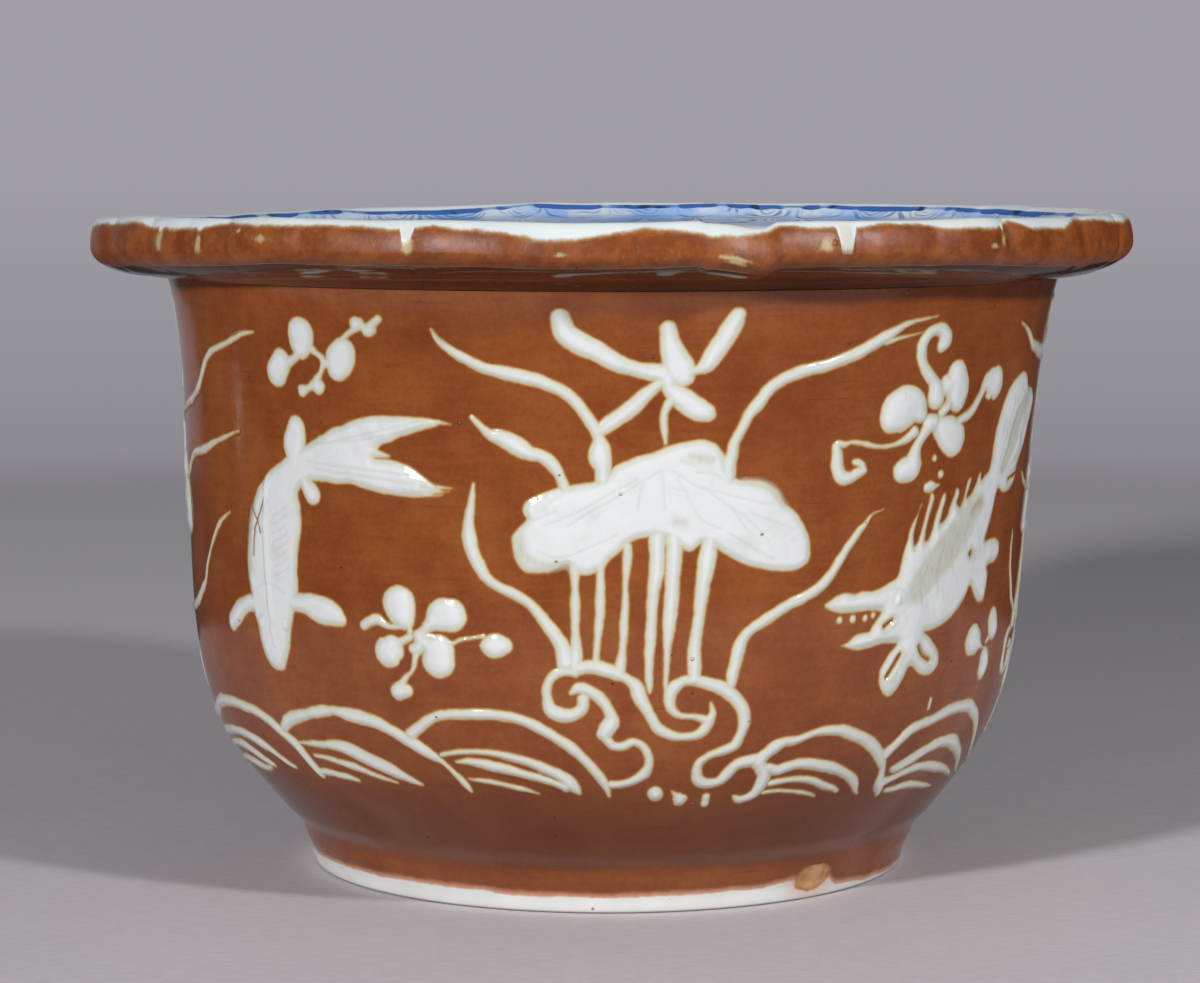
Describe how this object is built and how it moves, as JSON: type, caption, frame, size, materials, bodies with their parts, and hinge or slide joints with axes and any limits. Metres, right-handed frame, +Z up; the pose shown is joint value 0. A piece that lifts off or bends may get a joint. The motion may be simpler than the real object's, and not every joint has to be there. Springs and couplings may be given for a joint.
{
  "type": "jardiniere",
  "caption": "Round brown-glazed jardiniere with a lobed everted rim, on a foot ring, decorated with raised white slip lotus, carp, spiny fish, prunus and waves.",
  "frame": {"origin": "middle of the foot, on the surface that the pot stands on", "axes": "+Z up along the pot's axis, -Y towards the front of the drawing with the single lotus clump in its middle, +X to the right of it"},
  "size_m": [0.2894, 0.2894, 0.1826],
  "materials": {
    "brown_glaze": "glossy",
    "clear_glaze": "glossy",
    "white_glaze": "glossy",
    "rim_glaze": "glossy",
    "white_slip": "glossy"
  },
  "bodies": {
    "root": {"foot_ring": "clear_glaze", "floor_disc": "white_glaze", "bowl_wall": "brown_glaze", "rim_flange": "rim_glaze", "front_lotus": "white_slip", "front_carp": "white_slip", "front_spiny_fish": "white_slip", "front_waves_left": "white_slip", "front_waves_right": "white_slip", "front_sprig_upper_left": "white_slip", "front_sprig_lower_left": "white_slip", "front_sprig_upper_right": "white_slip", "front_sprig_lower_right": "white_slip", "front_ripple_1": "white_slip", "front_ripple_2": "white_slip", "front_ripple_3": "white_slip", "front_ripple_4": "white_slip", "front_ripple_5": "white_slip", "front_ripple_6": "white_slip", "front_ripple_7": "white_slip", "front_ripple_8": "white_slip", "back_lotus": "white_slip", "back_carp": "white_slip", "back_spiny_fish": "white_slip", "back_waves_left": "white_slip", "back_waves_right": "white_slip", "back_sprig_upper_left": "white_slip", "back_sprig_lower_left": "white_slip", "back_sprig_upper_right": "white_slip", "back_sprig_lower_right": "white_slip", "back_ripple_1": "white_slip", "back_ripple_2": "white_slip", "back_ripple_3": "white_slip", "back_ripple_4": "white_slip", "back_ripple_5": "white_slip", "back_ripple_6": "white_slip", "back_ripple_7": "white_slip", "back_ripple_8": "white_slip", "right_lotus": "white_slip", "left_lotus": "white_slip"}
  },
  "joints": []
}
